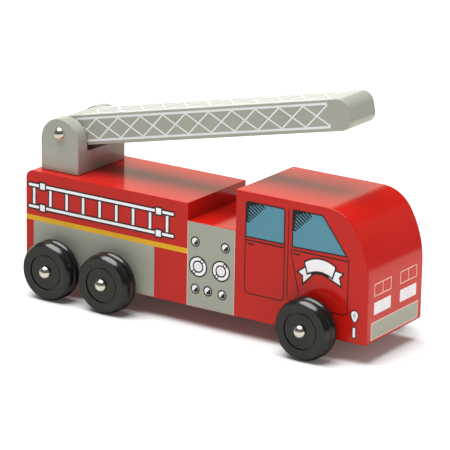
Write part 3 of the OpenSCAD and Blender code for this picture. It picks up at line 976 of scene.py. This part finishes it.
def mirrored_backdrop(tree, facing, height):
    """What reflections show of the backdrop: where it is, how bright it is and its tint."""
    wide = put(tree, "MapRange", {"From Min": BACKDROP_EDGE[0], "From Max": BACKDROP_EDGE[1]},
               {"Value": facing}, interpolation_type="SMOOTHSTEP")
    tall = put(tree, "MapRange", {"From Min": BACKDROP_TOP[1], "From Max": BACKDROP_TOP[0]},
               {"Value": height}, interpolation_type="SMOOTHSTEP")
    sheet = put(tree, "Math", links={0: wide.outputs[0], 1: tall.outputs[0]}, operation="MULTIPLY")
    foot, top = BACKDROP_LIGHT
    white = put(tree, "MapRange", {"From Max": BACKDROP_TOP[0], "To Min": foot, "To Max": top},
                {"Value": height})
    warm = put(tree, "MapRange", {"From Max": BACKDROP_TOP[0]}, {"Value": height})
    tint = put(tree, "Mix", {MIX_A: srgb(BACKDROP_TINTS[0]), MIX_B: srgb(BACKDROP_TINTS[1])},
               {0: warm.outputs[0]}, data_type="RGBA")
    return sheet.outputs[0], white.outputs[0], tint.outputs[MIX_RESULT]


def mirrored_room(tree, facing):
    """How bright the room is in reflections."""
    wall = put(tree, "MapRange", {"From Min": WALL_EDGE[0], "From Max": WALL_EDGE[1],
                                  "To Min": ROOM_WALL, "To Max": ROOM_DARK},
               {"Value": facing}, interpolation_type="SMOOTHSTEP")
    turn = put(tree, "MapRange", {"From Min": WALL_TURN[0], "From Max": WALL_TURN[1],
                                  "To Min": ROOM_FRONT},
               {"Value": facing}, interpolation_type="SMOOTHSTEP")
    room = put(tree, "Math", links={0: wall.outputs[0], 1: turn.outputs[0]}, operation="MULTIPLY")
    return room.outputs[0]


def make_world():
    """White to the camera and a weak fill on the engine. Reflections show a grey room instead, with a
    white backdrop behind the engine."""
    world = bpy.data.worlds.new("studio")
    bpy.context.scene.world = world
    world.use_nodes = True
    tree = world.node_tree
    tree.nodes.clear()
    way = put(tree, "TexCoord").outputs["Generated"]
    behind = (-math.sin(CAMERA_AZIMUTH), math.cos(CAMERA_AZIMUTH), 0)
    facing = put(tree, "VectorMath", {1: behind}, {0: way}, operation="DOT_PRODUCT").outputs["Value"]
    height = put(tree, "SeparateXYZ", links={0: way}).outputs["Z"]
    sheet, white, tint = mirrored_backdrop(tree, facing, height)
    room = mirrored_room(tree, facing)
    mirrored = put(tree, "Mix", links={0: sheet, NUMBER_A: room, NUMBER_B: white})
    ray = put(tree, "LightPath").outputs
    glossy = put(tree, "Mix", {NUMBER_A: FILL},
                 {0: ray["Is Glossy Ray"], NUMBER_B: mirrored.outputs[0]})
    clear = put(tree, "Math", links={0: ray["Is Camera Ray"], 1: ray["Is Transmission Ray"]},
                operation="MAXIMUM")
    strength = put(tree, "Mix", {NUMBER_B: 1}, {0: clear.outputs[0], NUMBER_A: glossy.outputs[0]})
    seen = put(tree, "Mix", {MIX_A: (1, 1, 1, 1)}, {0: ray["Is Glossy Ray"], MIX_B: tint},
               data_type="RGBA")
    light = put(tree, "Background",
                links={"Color": seen.outputs[MIX_RESULT], "Strength": strength.outputs[0]})
    put(tree, "OutputWorld", links={"Surface": light.outputs[0]})


def floor_colour(tree, ray, far):
    """The paper's colour, which depends on how it is seen."""
    near_tone, far_tone = FLOOR_MIRRORED
    mirrored = put(tree, "Mix", {MIX_A: srgb(near_tone), MIX_B: srgb(far_tone)}, {0: far},
                   data_type="RGBA")
    tone = put(tree, "Mix", {MIX_A: srgb(FLOOR_TONE)},
               {0: ray["Is Glossy Ray"], MIX_B: mirrored.outputs[MIX_RESULT]}, data_type="RGBA")
    seen = put(tree, "Mix", {MIX_B: srgb(FLOOR_SEEN)},
               {0: ray["Is Camera Ray"], MIX_A: tone.outputs[MIX_RESULT]}, data_type="RGBA")
    return seen.outputs[MIX_RESULT]


def floor_glow(tree, ray, far, ahead):
    """How much the paper glows: to the camera as a lift of the shadow, else ahead of the engine."""
    front = put(tree, "MapRange", {"From Min": FRONT_GLOW_X[0] * MM, "From Max": FRONT_GLOW_X[1] * MM,
                                   "To Max": FRONT_GLOW},
                {"Value": ahead})
    share = put(tree, "MapRange", {"To Min": 1, "To Max": MIRRORED_GLOW},
                {"Value": ray["Is Glossy Ray"]})
    lit = put(tree, "Math", links={0: front.outputs[0], 1: share.outputs[0]}, operation="MULTIPLY")
    near = put(tree, "Mix", {NUMBER_B: 0}, {0: far, NUMBER_A: lit.outputs[0]})
    shown = put(tree, "MapRange", {"From Min": FLOOR_GLOW_X[0] * MM, "From Max": FLOOR_GLOW_X[1] * MM,
                                   "To Min": FLOOR_GLOW[0], "To Max": FLOOR_GLOW[1]},
                {"Value": ahead})
    glow = put(tree, "Mix", links={0: ray["Is Camera Ray"], NUMBER_A: near.outputs[0],
                                   NUMBER_B: shown.outputs[0]})
    return glow.outputs[0]


def paper_sweep(name):
    """Pale matte paper, which takes the shadows and throws light back up."""
    material, tree = blank_material(name)
    ray = put(tree, "LightPath").outputs
    place = put(tree, "TexCoord").outputs["Object"]
    away = put(tree, "VectorMath", links={0: place}, operation="LENGTH")
    near_end, far_start = FLOOR_MIRRORED_REACH
    far = put(tree, "MapRange", {"From Min": near_end * MM, "From Max": far_start * MM},
              {"Value": away.outputs["Value"]}).outputs[0]
    ahead = put(tree, "SeparateXYZ", links={0: place}).outputs["X"]
    paper = put(tree, "BsdfDiffuse", links={"Color": floor_colour(tree, ray, far)})
    lift = put(tree, "Emission", {"Color": srgb(GLOW_TINT)},
               {"Strength": floor_glow(tree, ray, far, ahead)})
    both = put(tree, "AddShader", links={0: paper.outputs[0], 1: lift.outputs[0]})
    put(tree, "OutputMaterial", links={"Surface": both.outputs[0]})
    return material


def make_floor():
    """A level sheet of paper under the engine."""
    bm = bmesh.new()
    bmesh.ops.create_grid(bm, x_segments=1, y_segments=1, size=FLOOR_REACH * MM)
    mesh = bpy.data.meshes.new("floor")
    bm.to_mesh(mesh)
    bm.free()
    mesh.materials.append(paper_sweep("pale paper sweep"))
    floor = bpy.data.objects.new("floor", mesh)
    bpy.context.scene.collection.objects.link(floor)


# Building

# Prints on both flanks of the body, as what is drawn and its slot
FLANK_PRINTS = {
    "grey_panel": (panel_print, "grey_paint"),
    "yellow_stripe": (stripe_print, "yellow_print"),
    "printed_ladder": (ladder_print, "white_print"),
    "pump_controls": (pump_print, "white_print"),
    "cab_windows": (window_print, "window_print"),
    "cab_doors": (door_print, "black_print"),
    "blank_ribbon": (ribbon_print, "white_print"),
    "cab_lamps": (lamp_print, "white_print"),
}

make_rear_body()
make_pump_section()
make_cab()
make_ladder_base()
make_ladder()
for side, sign in SIDES.items():
    for axle in AXLES:
        make_wheel(axle, side)
        make_cap(f"axle_cap_{axle}_{side}", f"domed_cap_{axle}_{side}", side, "truck")
    make_cap(f"pivot_cap_{side}", f"domed_pivot_cap_{side}", side, "ladder_base")
    flank = layout((rear_low.x, sign * half_w, 0), X, Z, sign * Y)
    for print_name, (drawn, slot) in FLANK_PRINTS.items():
        print_piece(f"{print_name}_{side}", drawn(), flank, "truck")
    boom_side = layout((pivot.x, sign * ladder_high.y, pivot.z), boom_along, boom_up, sign * Y)
    side_lattice = lattice_print(LATTICE_LOW, LATTICE_TOP)
    print_piece(f"ladder_lattice_{side}", side_lattice, boom_side, "ladder")
cab_front = layout((front_x, 0, 0), Y, Z, X)
print_piece("cab_front_print", front_print(), cab_front, "truck")
boom_top = layout(Vector((pivot.x, 0, pivot.z)) + LADDER_OVER * boom_up, boom_along, Y, boom_up)
top_lattice = lattice_print(ladder_low.y + LATTICE_EDGE, ladder_high.y - LATTICE_EDGE)
print_piece("ladder_lattice_top", top_lattice, boom_top, "ladder")
finish_nodes()
make_camera()
make_key_light()
make_world()
make_floor()
bpy.context.scene.view_settings.view_transform = "Standard"
